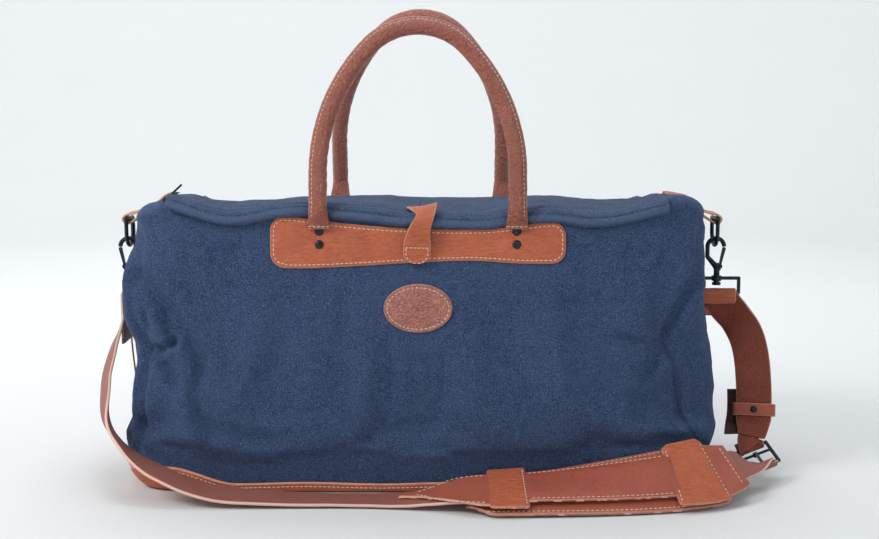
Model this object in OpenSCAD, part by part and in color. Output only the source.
// Soft-sided weekender bag: canvas body, leather yokes, two rolled handles, a zipped lid with a
// closure tab, and a detachable shoulder strap hooked to a D-ring at each end.
// Origin: centre of the underside. +X right, -Y front, +Z up. Millimetres.

/* [Body] */
// Width of the body between the end seams
bag_w = 550; // [540:1:556]
// Depth of the body at the corners, front to rear
bag_d = 226; // [222:1:228]
// Height of the straight walls, where the top edge starts to round over
wall_top = 246; // [244:1:248]
// How far the front and rear belly out beyond the corners
belly = 12; // [9:1:13]
// How far the end gussets belly out
gusset_bulge = 17; // [12:1:17]
// Squareness of the plan outline (superellipse exponent)
plan_n = 5; // [4.5:0.1:5.4]
// Thickness of the padded canvas
canvas_t = 3; // [2:0.1:3.2]
// Height of the leather base above the floor
base_h = 24; // [20:1:26]
// How far the top corners rise above the middle
horn = 14; // [8:1:15]

/* [Mouth and lid] */
// Half length of the lid
lid_half = 215; // [200:1:218]
// Rear edge of the lid, where it hinges
lid_rear = 97.5; // [94:0.5:98]
// Width of the slot that holds the zip
zip_gap = 14; // [13.6:0.1:14.4]

/* [Leather trim] */
// Half width of the handle yokes
yoke_half = 138; // [125:1:142]
// Lower edge of the handle yokes
yoke_low = 218; // [212:1:224]
// Thickness of the leather trim
trim_t = 2; // [1.6:0.1:2.2]
// Width of the oval patch
patch_w = 65; // [50:1:80]
// Height of the oval patch
patch_h = 46; // [36:1:56]
// Width of the closure tab
tab_w = 26; // [20:1:30]

/* [Handles] */
// Half distance between the legs of the front handle
front_half = 92; // [84:1:98]
// Half distance between the legs of the rear handle
rear_half = 88; // [84:1:94]
// Radius of the rolled leather tube
tube_r = 8; // [7:0.25:8]
// Radius of the rope core
rope_r = 5.9; // [5:0.1:5.9]
// Straight part of each leg, front handle
front_leg = 50; // [40:1:60]
// Straight part of each leg, rear handle
rear_leg = 60; // [45:1:65]
// Inward lean of the front handle at rest, degrees
front_lean = 8.5; // [4:0.5:9]
// Inward lean of the rear handle at rest, degrees
rear_lean = 11; // [4:0.5:12]

/* [Shoulder strap] */
// Width of the strap
strap_w = 35; // [30:1:35]
// Thickness of the strap
strap_t = 3; // [2:0.2:3.2]
// Width of the shoulder pad
pad_w = 70; // [60:1:72]
// Wire radius of the D-rings
ring_wire = 2; // [1.6:0.1:2]
// Wire radius of the hooks
hook_wire = 2.2; // [1.8:0.1:2.3]

/* [Hidden] */

$fn = 48;

// Body shape
rim_z = 256;       // height at which the walls' belly has run out
end_seam = 7;      // the gussets start this far inside the body's half width
fillet = 12;       // rounding of the top edge
top_crown = 5;     // extra height in the middle of the top
floor_z = 2.6;     // underside of the canvas
tilt = 4;          // rear rim stands this much higher, front rim this much lower
lift_start = 150;  // height where the tilt and the horns set in
lift_span = 96;    // height over which they reach their full size
plan_steps = 48;   // points round each level of the body
fit = 0.2;         // clearance between neighbouring pieces

// Reach of the cutting boxes, beyond the body on every side
far_x = 340;
far_y = 200;
far_z = 300;

// Panel seams
panel_half = 240;  // half length of the front and rear panels
canvas_low = 5.7;  // lower edge of the panels

// Zip
zip_y = -92;                  // centre line of the zip
zip_front = zip_y - zip_gap / 2;
zip_back = zip_y + zip_gap / 2;
zip_start = [-244, zip_y, 270];  // slider at rest
zip_drop = 2.05;              // the zip line falls this many degrees towards the right

// Riveting
rivet_r = 1.5;
canvas_hole_r = 1.7;
leather_hole_r = 1.6;
end_rivet_x = 251;

// Snap of the closure tab
snap_r = 7;
snap_z = 233;
snap_off = 1.2;    // distance of the plate's seat from the canvas
snap_turn = -84;   // turns +Z towards the rear, square to the tab

// Handles
handle_y = 126;    // hinge distance from the middle
front_handle_z = 256;
rear_handle_z = 264;
bend_r = 170;      // side bends between the legs and the top arc
bend_angle = 43.8;

// D-rings, hooks and swivel loops, as distances towards the right end
left_in = 5;       // the left end's hardware hangs this much closer in
ring_x = 299;      // plane of the D-rings
ring_bar_z = 252;  // D-ring straight bar
ring_arc_z = 240;  // centre of the D-ring's arc
ring_r = 15;       // radius of the D-ring's arc
hook_x = 300.5;    // hook eye
eye_z = 223.5;
eye_r = 8.3;
hook_leg_z = 213;  // foot of the hook's back leg
stem_x = 302;      // swivel stem
gate_pin_x = stem_x + 2.2;
gate_pin_z = 203.5;
swivel_z = 191;    // swivel boss and upper bar of the loop
loop_x = stem_x + 2.5;  // right loop and its strap
loop_h = 15;
loop_low_z = swivel_z - loop_h;
loop_wire = 1.8;

canvas_color = [0.20, 0.28, 0.42];
board_color = [0.35, 0.30, 0.25];
lining_color = [0.55, 0.50, 0.42];
leather_color = [0.74, 0.40, 0.28];
handle_color = [0.65, 0.33, 0.24];
rope_color = [0.8, 0.75, 0.6];
strap_color = [0.52, 0.26, 0.17];
metal_color = [0.10, 0.13, 0.16];
zip_color = [0.10, 0.12, 0.16];
cord_color = [0.30, 0.22, 0.18];

// In what follows, side is -1 for the front or left and 1 for the rear or right.

// ---------- shared shapes ----------
// Box between two corners, whose coordinates may come in either order
module box(x0, x1, y0, y1, z0, z1) {
  translate([min(x0, x1), min(y0, y1), z0]) cube([abs(x1 - x0), abs(y1 - y0), z1 - z0]);
}
// Centred rods along X and along Y
module rod_x(r, h, facets) {
  rotate([0, 90, 0]) cylinder(r = r, h = h, center = true, $fn = facets);
}
module rod_y(r, h, facets) {
  rotate([90, 0, 0]) cylinder(r = r, h = h, center = true, $fn = facets);
}
// Bent round rod in the XY plane, starting on +X
module arc_rod(bend, r, angle) {
  rotate_extrude(angle = angle, $fn = 96) translate([bend, 0]) circle(r = r, $fn = 32);
}
// Domed rivet head standing on z = 0
module dome(r, h) {
  rotate_extrude($fn = 32)
    polygon(concat([[0, 0]], [for (k = [0:6]) [r * cos(15 * k), h * sin(15 * k)]]));
}
module rounded(x0, x1, y0, y1, r) {
  corners = [[x1 - r, y1 - r, 0], [x0 + r, y1 - r, 90], [x0 + r, y0 + r, 180], [x1 - r, y0 + r, 270]];
  polygon([for (c = corners) for (k = [0:6])
    [c[0] + r * cos(c[2] + 15 * k), c[1] + r * sin(c[2] + 15 * k)]]);
}
module oval(w, h) {
  polygon([for (k = [0:47]) [w / 2 * cos(7.5 * k), h / 2 * sin(7.5 * k)]]);
}
// Extrudes a front-view outline right through the body
module through() {
  rotate([90, 0, 0]) linear_extrude(height = 400, center = true) children();
}
// Children in a frame given as [X axis, Y axis, Z axis, origin]
module in_frame(frame) {
  multmatrix([for (k = [0:2]) [for (column = frame) column[k]]]) children();
}

// ---------- body surface ----------
function smooth(value) = let (u = min(1, max(0, value))) u * u * (3 - 2 * u);
function swell(z) = sin(180 * min(wall_top, max(0, z)) / rim_z);
function half_w(z) = bag_w / 2 - end_seam + gusset_bulge * swell(z);
function half_d(z) = bag_d / 2 + belly * swell(z);
function signed_pow(value, power) = sign(value) * pow(abs(value), power);
function plan_x(angle) = signed_pow(cos(angle), 2 / plan_n);
function plan_y(angle) = signed_pow(sin(angle), 2 / plan_n);
function lift(x, y, z) =
  smooth((z - lift_start) / lift_span) * (tilt * y / 110 + horn * smooth((abs(x) - 185) / 60));
// Distance of the front surface from the middle plane, at x and z, offset outwards
function face_y(x, z, off) =
  (half_d(z) + off)
  * pow(1 - pow(min(0.99, abs(x) / (half_w(z) + off)), plan_n), 1 / plan_n);

// Levels of the body surface: [half width, half depth, height, factor towards the centre]
function wall_levels(off) =
  let (low = floor_z - off, steps = 9)
  [for (i = [0:steps]) let (z = low + (wall_top - low) * i / steps)
    [half_w(z) + off, half_d(z) + off, z, 1]];
function fillet_levels(off) =
  let (r = fillet + off)
  [for (k = [1:4]) let (angle = 22.5 * k, inset = r * (1 - cos(angle)))
    [half_w(wall_top) + off - inset, half_d(wall_top) + off - inset, wall_top + r * sin(angle), 1]];
function crown_levels(off) =
  [for (k = [1:3]) let (factor = 1 - 0.27 * k)
    [half_w(wall_top) - fillet, half_d(wall_top) - fillet,
     wall_top + fillet + off + top_crown * (1 - factor * factor), factor]];

// Closed body surface, offset outwards by off
module body_form(off) {
  n = plan_steps;
  levels = concat(wall_levels(off), fillet_levels(off), crown_levels(off));
  count = len(levels);
  points = concat(
    [for (level = levels) for (j = [0:n - 1])
      let (angle = 360 * j / n,
           x = level[0] * level[3] * plan_x(angle),
           y = level[1] * level[3] * plan_y(angle))
      [x, y, level[2] + lift(x, y, level[2])]],
    [[0, 0, wall_top + fillet + off + top_crown]]);
  faces = concat(
    [[for (j = [0:n - 1]) j]],
    [for (i = [0:count - 2]) for (j = [0:n - 1]) let (k = (j + 1) % n)
      [(i + 1) * n + j, (i + 1) * n + k, i * n + k]],
    [for (i = [0:count - 2]) for (j = [0:n - 1]) let (k = (j + 1) % n)
      [(i + 1) * n + j, i * n + k, i * n + j]],
    [for (j = [0:n - 1]) [(count - 1) * n + (j + 1) % n, (count - 1) * n + j, count * n]]);
  polyhedron(points = points, faces = faces, convexity = 6);
}
module body_shell(outer, inner) {
  difference() {
    body_form(outer);
    body_form(inner);
  }
}
module plan_outline(a, b) {
  polygon([for (j = [0:71]) [a * plan_x(5 * j), b * plan_y(5 * j)]]);
}

// ---------- rivets ----------
function leg_half(side) = side < 0 ? front_half : rear_half;
function rivet_heights(side) = side < 0 ? [239.5, 251.5] : [243, 254];
function wall_angle(z) = atan((half_d(z - 1) - half_d(z + 1)) / 2);
// Children on the front or rear wall: local +Z points outwards
module at_wall(x, z, side, off) {
  translate([x, side * face_y(x, z, off), z])
    rotate([-side * (90 - wall_angle(z)), 0, 0])
      children();
}
module at_rivets(side, off) {
  for (x = [-leg_half(side), leg_half(side)])
    for (z = rivet_heights(side))
      at_wall(x, z, side, off) children();
}
module rivet_holes(side, r) {
  at_rivets(side, 0) cylinder(r = r, h = 40, center = true, $fn = 24);
}
module rivets(side) {
  at_rivets(side, trim_t + fit) {
    translate([0, 0, 0.12]) dome(4.25, 1.7);
    translate([0, 0, -8.4]) cylinder(r = rivet_r, h = 8.6, $fn = 24);
  }
}
module burrs(side) {
  at_rivets(side, -canvas_t - 2.5)
    translate([0, 0, -0.9]) difference() {
      cylinder(r = 3.4, h = 0.8, $fn = 32);
      translate([0, 0, -1]) cylinder(r = rivet_r + 0.06, h = 3, $fn = 24);
    }
}
module front_rivets() color(metal_color) rivets(-1);
module rear_rivets() color(metal_color) rivets(1);
module rivet_burrs() color(metal_color) for (side = [-1, 1]) burrs(side);

// ---------- canvas ----------
// Shifts the hardware of the left end inwards
module at_end(side) {
  translate([side < 0 ? left_in : 0, 0, 0]) children();
}
// Front or rear panel, starting at edge_y
module wall_panel(side, edge_y) {
  difference() {
    intersection() {
      body_shell(0, -canvas_t);
      box(-panel_half, panel_half, edge_y, side * far_y, canvas_low, far_z);
    }
    rivet_holes(side, canvas_hole_r);
  }
}
module front_panel() color(canvas_color) wall_panel(-1, zip_front - fit);
module rear_panel() color(canvas_color) wall_panel(1, lid_rear + 0.8);

// End wall, reaching over the top as far as the lid's end
module gusset(side) {
  difference() {
    intersection() {
      body_shell(0, -canvas_t);
      union() {
        box(side * (panel_half + 0.3), side * far_x, -far_y, far_y, canvas_low, far_z);
        box(side * (lid_half + 0.5), side * (panel_half + 1),
            zip_back + fit, lid_rear + 0.4, 200, far_z);
      }
    }
    box(-252, 252, zip_front - fit, zip_back + fit, 230, far_z);
    at_end(side) translate([side * end_rivet_x, 0, 255])
      cylinder(r = canvas_hole_r, h = 40, $fn = 24);
  }
}
module left_gusset() color(canvas_color) gusset(-1);
module right_gusset() color(canvas_color) gusset(1);

module lid_panel() {
  color(canvas_color) intersection() {
    body_shell(0, -canvas_t);
    box(-lid_half, lid_half, zip_back + 0.3, lid_rear, 235, far_z);
  }
}

// Leather tray round the foot of the body
module base_leather() {
  inner_a = half_w(base_h) + 0.3;
  inner_b = half_d(base_h) + 0.3;
  wall = 2.3;
  color(leather_color) difference() {
    linear_extrude(height = base_h) plan_outline(inner_a + wall, inner_b + wall);
    translate([0, 0, 2.4]) linear_extrude(height = base_h) plan_outline(inner_a, inner_b);
  }
}
module base_board() {
  inset = 9;
  color(board_color) translate([0, 0, canvas_low + fit])
    linear_extrude(height = 3) plan_outline(half_w(6) - inset, half_d(6) - inset);
}
module lining() {
  color(lining_color) intersection() {
    body_shell(-8.6, -9.6);
    box(-far_x, far_x, -far_y, far_y, -10, 236);
  }
}
// Rolled canvas edge along the front of the mouth, in two lengths with a gap in the middle
module front_rim() {
  outer_x = 226;
  inner_x = 18;
  color(canvas_color) for (x = [-outer_x, inner_x])
    translate([x, -108, front_handle_z + 2.4])
      rotate([0, 90, 0]) cylinder(r = 1.8, h = outer_x - inner_x, $fn = 24);
}

// ---------- leather trim ----------
module yoke(side) {
  top = side < 0 ? 253 : 259;
  difference() {
    intersection() {
      body_shell(trim_t + fit, fit);
      box(-200, 200, side * 105, side * far_y, 200, far_z);
      through() rounded(-yoke_half, yoke_half, yoke_low, top, 14);
    }
    rivet_holes(side, leather_hole_r);
    if (side < 0) at_wall(0, snap_z, -1, snap_off) cylinder(r = snap_r + 0.2, h = 10, $fn = 48);
  }
}
module front_yoke() color(leather_color) yoke(-1);
module rear_yoke() color(leather_color) yoke(1);

// Leather ends of the handles, inside the canvas
module handle_tongues() {
  half_width = 12;
  color(handle_color) for (side = [-1, 1]) difference() {
    intersection() {
      body_shell(-canvas_t - fit, -canvas_t - fit - 2);
      box(-200, 200, side * 60, side * far_y, 200, far_z);
      union() for (x = [-leg_half(side), leg_half(side)])
        through() rounded(x - half_width, x + half_width, 226, 255, 7);
    }
    rivet_holes(side, canvas_hole_r);
  }
}
module oval_patch() {
  color(leather_color) intersection() {
    body_shell(trim_t, fit);
    box(-100, 100, -far_y, -60, 100, 260);
    through() translate([0, 180]) oval(patch_w, patch_h);
  }
}

// ---------- zip ----------
// Zip frame: origin at the slider, X along the zip to the right
pull_pin_z = 4.4;
pull_pin_r = 0.8;
module along_zip() {
  translate(zip_start) rotate([0, zip_drop, 0]) children();
}
// Tape and teeth on one side of the zip's centre line
module zip_half(side, tape_x0, tape_x1, teeth_x0, teeth_x1) {
  box(tape_x0, tape_x1, side * 1.4, side * 6.9, -3.6, -2.9);
  box(teeth_x0, teeth_x1, side * 0.25, side * 2.2, -4.6, -2.75);
}
// Whole front half, and the piece of the rear half behind the slider's start
module zip_tape_front() {
  color(zip_color) along_zip() {
    zip_half(-1, -8, 454, -6, 452);
    zip_half(1, -8, 27.5, -6, 27.5);
  }
}
module zip_tape_lid() color(zip_color) along_zip() zip_half(1, 30, 454, 30, 452);
module zip_end_tabs() {
  color(leather_color) along_zip() {
    box(-11.5, -8.2, -6.5, 6.5, -4.8, -1);
    box(454.2, 459, -6.5, -0.2, -4.8, -3);
  }
}
module zip_slider() {
  // plan outline of the slider body
  outline = [[-6.5, -2.6], [-3, -4.4], [4.5, -4.4], [6.5, -3.2],
             [6.5, 3.2], [4.5, 4.4], [-3, 4.4], [-6.5, 2.6]];
  color(metal_color) along_zip() {
    difference() {
      linear_extrude(height = 4.6, center = true) polygon(outline);
      box(-8, 8, -2.6, 2.6, -3, -1.2);
    }
    for (side = [-1, 1]) translate([0, side * 3.6, 3.3]) rod_y(2.6, 1, 32);
    translate([0, 0, pull_pin_z]) rod_y(pull_pin_r, 7.2, 24);
  }
}
// Puller, leaning up to the right
module zip_pull() {
  color(metal_color) along_zip() translate([0, 0, pull_pin_z]) rotate([0, -45, 0]) difference() {
    union() {
      rod_y(1.9, 5.6, 32);
      translate([1, 0, 0])
        linear_extrude(height = 1.6, center = true) rounded(0, 27, -2.8, 2.8, 2.4);
    }
    rod_y(pull_pin_r + 0.06, 12, 24);
    translate([23.6, 0, -3]) cylinder(r = 1.4, h = 6, $fn = 24);
  }
}

// ---------- closure tab ----------
tab_t = 2.8;
// Side view of the closure tab: [y, z] of its outer face, from the lid down the front
tab_line = [[-62, 268.4], [-80, 271.6], [-96, 272.4], [-108, 270.6], [-117.5, 264.5],
            [-121.6, 255], [-122.6, 243], [-123.6, 232], [-124.4, 223]];
// Side view of the strip on the lid that holds the tab: [y, z]
anchor_outline = [[-61, 264.9], [-61, 267.8], [-40, 267.2], [12, 266.6], [12, 264.4], [-40, 264.4]];

// Point i of the tab's inner face
function tab_inner(i) =
  let (along = unit(clamped(tab_line, i + 1) - clamped(tab_line, i - 1)))
  tab_line[i] + tab_t * [-along[1], along[0]];
// Extrudes a side view over the width of the tab
module tab_prism() {
  translate([-tab_w / 2, 0, 0]) rotate([90, 0, 90]) linear_extrude(height = tab_w) children();
}
module tab_anchor() color(leather_color) tab_prism() polygon(anchor_outline);
module closure_tab() {
  color(leather_color) difference() {
    tab_prism() polygon(concat(tab_line, [for (i = [len(tab_line) - 1:-1:0]) tab_inner(i)]));
    translate([0, -124.5, snap_z]) rotate([snap_turn, 0, 0])
      cylinder(r = snap_r + 0.1, h = 4, $fn = 48);
  }
}
module snap_magnet() {
  color(metal_color) translate([0, -122.1, snap_z - 0.1]) rotate([snap_turn, 0, 0])
    cylinder(r = snap_r, h = 0.9, $fn = 48);
}
module snap_plate() {
  color(metal_color) at_wall(0, snap_z, -1, snap_off) translate([0, 0, 0.1])
    cylinder(r = snap_r, h = 0.8, $fn = 48);
}

// ---------- handles ----------
// Handle in its own frame, legs rising from z = low; balls fill the joints between the arcs
module handle_path(side, r, low) {
  half = leg_half(side);
  leg = side < 0 ? front_leg : rear_leg;
  joint_r = r + 0.08;
  joint_x = half - bend_r * (1 - cos(bend_angle));
  top_r = joint_x / cos(bend_angle);
  for (end = [-1, 1]) {
    translate([end * half, 0, low]) cylinder(r = r, h = leg - low, $fn = 32);
    translate([end * half, 0, leg]) sphere(r = joint_r, $fn = 32);
    translate([end * joint_x, 0, leg + bend_r * sin(bend_angle)]) sphere(r = joint_r, $fn = 32);
    translate([end * (half - bend_r), 0, leg])
      rotate([90, 0, 0]) rotate([0, 0, end > 0 ? 0 : 180 - bend_angle])
        arc_rod(bend_r, r, bend_angle);
  }
  translate([0, 0, leg + (bend_r - top_r) * sin(bend_angle)])
    rotate([90, 0, 0]) rotate([0, 0, bend_angle])
      arc_rod(top_r, r, 180 - 2 * bend_angle);
}
module at_handle(side) {
  translate([0, side * handle_y, side < 0 ? front_handle_z : rear_handle_z])
    rotate([side < 0 ? -front_lean : rear_lean, 0, 0])
      children();
}
module handle_cover(side) {
  at_handle(side) difference() {
    handle_path(side, tube_r, 1);
    handle_path(side, rope_r + 0.1, 0);
  }
}
module handle_core(side) at_handle(side) handle_path(side, rope_r, 24);
module front_handle_cover() color(handle_color) handle_cover(-1);
module front_handle_core() color(rope_color) handle_core(-1);
module rear_handle_cover() color(handle_color) handle_cover(1);
module rear_handle_core() color(rope_color) handle_core(1);

// ---------- D-rings and end tabs ----------
// Side view of the right end tab, 3 mm too far out: [x, z]
end_tab_outline = [[246, 277.4], [262, 277.4], [276, 274.3], [290, 267.3], [299.5, 257.2],
                   [305.8, 254.6], [299, 249.5], [296.4, 252.6], [287.6, 263.4], [274.6, 270.8],
                   [261.6, 274.5], [246, 274.5]];
end_tab_inset = 3;
end_tab_w = 23;

module d_ring(side) {
  at_end(side) translate([side * ring_x, 0, 0]) {
    translate([0, 0, ring_bar_z]) rod_y(ring_wire, 2 * ring_r, 32);
    for (y = [-ring_r, ring_r]) {
      translate([0, y, ring_arc_z]) cylinder(r = ring_wire, h = ring_bar_z - ring_arc_z, $fn = 32);
      translate([0, y, ring_bar_z]) sphere(r = ring_wire, $fn = 32);
    }
    translate([0, 0, ring_arc_z]) rotate([0, 90, 0]) rotate([0, 0, -90])
      arc_rod(ring_r, ring_wire, 180);
  }
}
module ring_right() color(metal_color) d_ring(1);
module ring_left() color(metal_color) d_ring(-1);

// Leather tab from the top of the gusset to a sleeve round the D-ring's bar
module end_tab(side) {
  at_end(side) difference() {
    union() {
      translate([0, end_tab_w / 2, 0]) rotate([90, 0, 0]) linear_extrude(height = end_tab_w)
        translate([-end_tab_inset * side, 0])
          polygon([for (p = end_tab_outline) [side * p[0], p[1]]]);
      translate([side * ring_x, 0, ring_bar_z]) rod_y(4.8, end_tab_w, 48);
    }
    translate([side * ring_x, 0, ring_bar_z]) rod_y(ring_wire + 0.08, 40, 48);
    translate([side * end_rivet_x, 0, 260]) cylinder(r = leather_hole_r, h = 30, $fn = 24);
  }
}
module left_end_tab() color(leather_color) end_tab(-1);
module right_end_tab() color(leather_color) end_tab(1);
module end_tab_rivets() {
  color(metal_color) for (side = [-1, 1]) at_end(side) translate([side * end_rivet_x, 0, 0]) {
    translate([0, 0, 277.5]) dome(4, 1.6);
    translate([0, 0, 264]) cylinder(r = rivet_r, h = 13.6, $fn = 24);
  }
}

// ---------- hooks and swivel loops ----------
module at_gate_pin(side) translate([side * gate_pin_x, 0, gate_pin_z]) children();

// Hook in the XZ plane: eye round the D-ring's arc, back leg, throat and swivel stem
module hook(side) {
  leg_x = side * (hook_x - eye_r);
  at_end(side) {
    translate([side * hook_x, 0, eye_z]) rotate([90, 0, 0]) arc_rod(eye_r, hook_wire, 180);
    // back leg on the bag side
    translate([leg_x, 0, hook_leg_z]) cylinder(r = hook_wire, h = eye_z - hook_leg_z, $fn = 32);
    difference() {
      union() {
        hull() {
          translate([leg_x, 0, hook_leg_z]) sphere(r = hook_wire, $fn = 32);
          translate([side * stem_x, 0, 202]) sphere(r = hook_wire + 1, $fn = 32);
        }
        // stem through the swivel boss
        translate([side * stem_x, 0, 186.6]) cylinder(r = 3, h = 15.6, $fn = 48);
      }
      at_gate_pin(side) rod_y(2.5, 12, 48);
    }
    // head at the foot of the stem
    translate([side * stem_x, 0, 184.2]) cylinder(r = 4.4, h = 2.6, $fn = 48);
    // ears that carry the gate's pin, the pin, and the bridge under the ears
    at_gate_pin(side) {
      for (y = [-3.1, 3.1]) translate([0, y, 0]) rod_y(2.8, 1.2, 48);
      rod_y(0.9, 6.4, 48);
    }
    translate([side * (stem_x + 0.2), 0, 200.1]) cube([6, 7.4, 1.6], center = true);
  }
}
module hook_right() color(metal_color) hook(1);
module hook_left() color(metal_color) hook(-1);

// Gate closing the outer side of the hook
module gate(side) {
  at_end(side) difference() {
    union() {
      at_gate_pin(side) rod_y(2.2, 4.6, 48);
      hull() {
        translate([side * (stem_x + 3.4), 0, 206]) rod_y(1.1, 3.6, 32);
        translate([side * (hook_x + eye_r), 0, eye_z - 2.2]) rod_y(1.6, 3.6, 32);
      }
    }
    at_gate_pin(side) rod_y(0.96, 12, 48);
  }
}
module gate_right() color(metal_color) gate(1);
module gate_left() color(metal_color) gate(-1);

// Rectangular loop with the swivel boss; its long side runs along X on the right, Y on the left
module swivel_loop(side) {
  half = (strap_w + 2) / 2 + loop_wire;
  at_end(side) difference() {
    union() {
      translate([side * stem_x, 0, swivel_z]) cylinder(r = 5, h = 5, center = true, $fn = 48);
      translate([side < 0 ? -stem_x : loop_x, 0, 0]) rotate([0, 0, side < 0 ? 90 : 0]) {
        for (z = [swivel_z, loop_low_z]) translate([0, 0, z]) rod_x(loop_wire, 2 * half, 32);
        for (x = [-half, half]) {
          translate([x, 0, loop_low_z]) cylinder(r = loop_wire, h = loop_h, $fn = 32);
          for (z = [swivel_z, loop_low_z]) translate([x, 0, z]) sphere(r = loop_wire, $fn = 32);
        }
      }
    }
    translate([side * stem_x, 0, swivel_z]) cylinder(r = 3.06, h = 20, center = true, $fn = 48);
  }
}
module swivel_loop_right() color(metal_color) swivel_loop(1);
module swivel_loop_left() color(metal_color) swivel_loop(-1);

// ---------- ribbons ----------
spline_steps = 4;  // pieces between two listed points

function unit(v) = v / norm(v);
// Item i of a list, held at the first and last items
function clamped(list, i) = list[min(len(list) - 1, max(0, i))];
function part(list, first, last) = [for (i = [first:last]) list[i]];
// Catmull-Rom curve from b to c, with neighbours a and d, at t from 0 to 1
function catmull(a, b, c, d, t) =
  0.5 * (2 * b + (c - a) * t + (2 * a - 5 * b + 4 * c - d) * t * t
         + (3 * b - a - 3 * c + d) * t * t * t);
function spline(list) = concat(
  [for (i = [0:len(list) - 2]) for (k = [0:spline_steps - 1])
    catmull(clamped(list, i - 1), list[i], list[i + 1], clamped(list, i + 2), k / spline_steps)],
  [list[len(list) - 1]]);
// Part of a direction that is square to the unit vector along, scaled to length 1
function square_to(direction, along) = unit(direction - (direction * along) * along);

// Ribbon along a line of points; across gives the width direction at each point.
// The width is a number, or a list with one value for each point.
module ribbon(line, across, width, thick) {
  count = len(line);
  points = [for (i = [0:count - 1])
    let (along = unit(clamped(line, i + 1) - clamped(line, i - 1)),
         wide = square_to(across[i], along),
         normal = cross(along, wide),
         w = is_list(width) ? width[i] : width)
    for (q = [[-1, -1], [1, -1], [1, 1], [-1, 1]])
      line[i] + wide * (q[0] * w / 2) + normal * (q[1] * thick / 2)];
  last = 4 * count - 1;
  faces = concat(
    [[0, 1, 2, 3]],
    [[last, last - 1, last - 2, last - 3]],
    [for (i = [0:count - 2]) for (k = [0:3])
      [4 * i + k, 4 * i + 4 + k, 4 * i + 4 + (k + 1) % 4]],
    [for (i = [0:count - 2]) for (k = [0:3])
      [4 * i + k, 4 * i + 4 + (k + 1) % 4, 4 * i + (k + 1) % 4]]);
  polyhedron(points = points, faces = faces, convexity = 10);
}

// ---------- straps ----------
// Long strap: down from the left loop, over the floor in front, through the pad to the buckle.
// Centre points [x, y, z], then the width direction at each of them.
long_line = spline([
  [-297, 0, 172], [-300, -4, 152], [-309, -20, 124], [-312, -46, 92], [-302, -84, 65],
  [-277, -122, 46], [-244, -141, 28], [-195, -149, 11], [-130, -148, 4.6], [-60, -147, 2.8],
  [-15, -151, 4.2], [10, -156, 8.4], [40, -161, 13.4], [110, -160.5, 16.4], [180, -158.5, 21.6],
  [230, -154, 25.8], [262, -147, 28.5], [290, -131, 29.5], [311, -108, 26.5], [331, -83, 18.5]]);
long_across = spline([
  [0, 1, 0], [0, 1, 0], [-0.25, 0.95, 0.05], [-0.3, 0.93, 0.15], [-0.35, 0.9, 0.1],
  [-0.35, 0.9, 0.1], [-0.15, 0.95, 0.12], [-0.03, 0.98, 0.1], [0, 1, 0.04], [0, 1, 0.01],
  [0, 1, 0.05], [0, 1, 0.12], [0, 0.978, 0.208], [0, 0.956, 0.292], [0, 0.875, 0.485],
  [0, 0.788, 0.616], [-0.1, 0.72, 0.66], [-0.3, 0.7, 0.66], [-0.5, 0.6, 0.6], [-0.9, 0.1, -0.2]]);
// Short strap: down from the right loop to the buckle, in the same two lists
short_line = spline([
  [304.5, 0, 172], [306, -2, 163], [316, -8, 152], [329, -14, 136], [335, -21, 115],
  [337, -27, 88], [336.5, -34, 62], [334.5, -40, 47], [332.5, -45, 37]]);
short_across = spline([
  [1, 0, 0], [1, -0.2, 0], [0.8, -0.6, 0], [0.9, -0.4, 0], [1, -0.25, 0],
  [1, -0.27, 0], [1, -0.27, 0], [1, -0.1, 0.1], [0.93, 0.15, 0.25]]);
// Stations of the short strap covered by its free tail, and the one at the keeper
tail_stations = [21:31];
keeper_station = 24;

// Strap width at each point of a line, narrowing by 9 mm over the last steps
function taper(line, steps) =
  let (last = len(line) - 1)
  [for (i = [0:last]) strap_w - 9 * max(0, (i - last + steps) / steps)];
// Frame at a station of the short strap: X across, Y to the rear, Z back up the strap
function short_frame(i) =
  let (along = unit(short_line[i + 1] - short_line[i - 1]),
       wide = square_to(short_across[i], along))
  [wide, cross(-along, wide), -along, short_line[i]];
// Distance of the free tail behind the short strap; it closes in at the foot
function tail_off(i) = i > 29 ? 1.8 : i > 28 ? 3.4 : i > 27 ? 6 : 8.6;

// A strap's end folded round a loop's bar, along X
module fold() {
  length = strap_w - 1;
  rotate([0, 90, 0]) difference() {
    cylinder(r = 4.7, h = length, center = true, $fn = 40);
    cylinder(r = 1.9, h = length + 2, center = true, $fn = 40);
  }
}
module long_strap() {
  color(strap_color) {
    ribbon(long_line, long_across, taper(long_line, 8), strap_t);
    translate([left_in - stem_x, 0, loop_low_z]) rotate([0, 0, 90]) fold();
  }
}
module short_strap() {
  frames = [for (i = tail_stations) short_frame(i)];
  tail_line = [for (i = tail_stations)
    let (f = short_frame(i)) f[3] + f[1] * tail_off(i) - f[0] * 4];
  color(strap_color) {
    ribbon(short_line, short_across, taper(short_line, 6), strap_t);
    translate([loop_x, 0, loop_low_z]) fold();
    ribbon(tail_line, [for (f = frames) f[0]], strap_w - 12, strap_t - 0.6);
  }
}
// Padded sleeve round the long strap, following its slope and twist; the bore runs past both ends
module shoulder_pad() {
  first = 47;
  last = 64;
  color(handle_color) difference() {
    ribbon(part(long_line, first, last), part(long_across, first, last), pad_w, strap_t + 7);
    ribbon(part(long_line, first - 2, last + 2), part(long_across, first - 2, last + 2),
           strap_w + 7, strap_t + 4.2);
  }
}

// ---------- buckle and keeper ----------
buckle_pos = [334.9, -61, 20.4];
buckle_x = unit([0.93, 0.2, 0.3]);
buckle_z = unit(cross(buckle_x, [-0.3, 0.8, 0.5]));
buckle_y = cross(buckle_z, buckle_x);
buckle_half_x = 17;
buckle_half_y = 13;
buckle_wire = 1.8;
prong_bar_y = 3;
prong_bar_r = 1.4;

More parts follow.
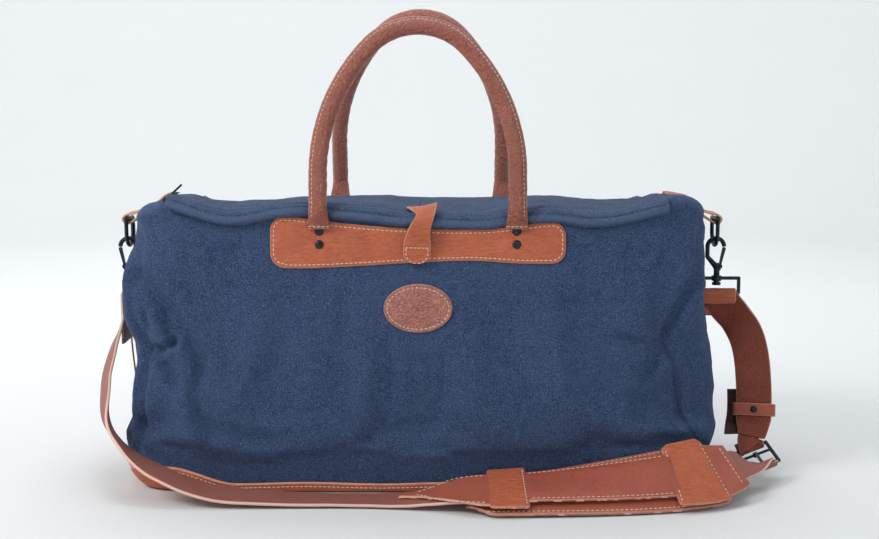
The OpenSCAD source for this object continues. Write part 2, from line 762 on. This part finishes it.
module at_buckle() in_frame([buckle_x, buckle_y, buckle_z, buckle_pos]) children();
// Rectangular frame at the foot of the short strap, with a bar for the prong
module buckle_frame() {
  xs = [-buckle_half_x, buckle_half_x];
  ys = [-buckle_half_y, buckle_half_y];
  color(metal_color) at_buckle() union() {
    for (y = ys) translate([0, y, 0]) rod_x(buckle_wire, 2 * buckle_half_x, 32);
    for (x = xs) translate([x, 0, 0]) rod_y(buckle_wire, 2 * buckle_half_y, 32);
    for (x = xs) for (y = ys) translate([x, y, 0]) sphere(r = buckle_wire, $fn = 32);
    translate([0, prong_bar_y, 0]) rod_x(prong_bar_r, 2 * buckle_half_x, 32);
  }
}
module buckle_prong() {
  color(metal_color) at_buckle() difference() {
    union() {
      translate([0, prong_bar_y, 0]) rod_x(2.7, 3.6, 48);
      translate([-1.4, -12.5, 2.3]) cube([2.8, 15.2, 1.5]);
    }
    translate([0, prong_bar_y, 0]) rod_x(prong_bar_r + 0.08, 12, 48);
  }
}
// Keeper band round the short strap, with its stud on the front
module at_keeper() in_frame(short_frame(keeper_station)) children();
module strap_keeper() {
  half = strap_w / 2 + 3;
  color(strap_color) at_keeper() difference() {
    linear_extrude(height = 12, center = true)
      rounded(-half, half, -strap_t / 2 - 3.6, strap_t / 2 + 4.8, 2.5);
    translate([0, 0.4, 0]) cube([strap_w + 2, strap_t + 4.2, 60], center = true);
    translate([0, -6, 0]) rod_y(1.3, 8, 24);
  }
}
module keeper_stud() {
  color(metal_color) at_keeper() {
    translate([0, -strap_t / 2 - 3.7, 0]) rotate([90, 0, 0]) dome(3.4, 1.5);
    translate([0, -strap_t / 2 - 2.6, 0]) rotate([90, 0, 0]) cylinder(r = 1.2, h = 1.2, $fn = 24);
  }
}

// ---------- luggage tag ----------
tag_x = -296;
tag_y = 30;
tag_top = 68;
cord_top = 244;

// Two parallel cords joined by a short cross rod at the top
module tag_cord() {
  low = tag_top + 0.2;
  color(cord_color) {
    for (y = [-2, 2]) translate([tag_x, tag_y + y, low])
      cylinder(r = 0.9, h = cord_top - low, $fn = 24);
    translate([tag_x, tag_y, cord_top]) rod_y(1.6, 6.4, 24);
  }
}
module luggage_tag() {
  color(leather_color) translate([tag_x, tag_y, 0]) rotate([90, 0, 90])
    linear_extrude(height = 3.2, center = true) difference() {
      rounded(-17, 17, 8, tag_top, 6);
      translate([0, tag_top - 7]) circle(r = 2.2, $fn = 24);
    }
}

front_panel();
rear_panel();
left_gusset();
right_gusset();
base_leather();
base_board();
lining();
front_rim();
front_yoke();
rear_yoke();
handle_tongues();
front_rivets();
rear_rivets();
rivet_burrs();
oval_patch();
snap_plate();
zip_tape_front();
zip_end_tabs();
left_end_tab();
right_end_tab();
end_tab_rivets();
lid_panel();
zip_tape_lid();
tab_anchor();
closure_tab();
snap_magnet();
front_handle_cover();
front_handle_core();
rear_handle_cover();
rear_handle_core();
zip_slider();
zip_pull();
long_strap();
short_strap();
buckle_frame();
buckle_prong();
strap_keeper();
keeper_stud();
shoulder_pad();
swivel_loop_right();
swivel_loop_left();
hook_right();
hook_left();
gate_right();
gate_left();
ring_right();
ring_left();
tag_cord();
luggage_tag();
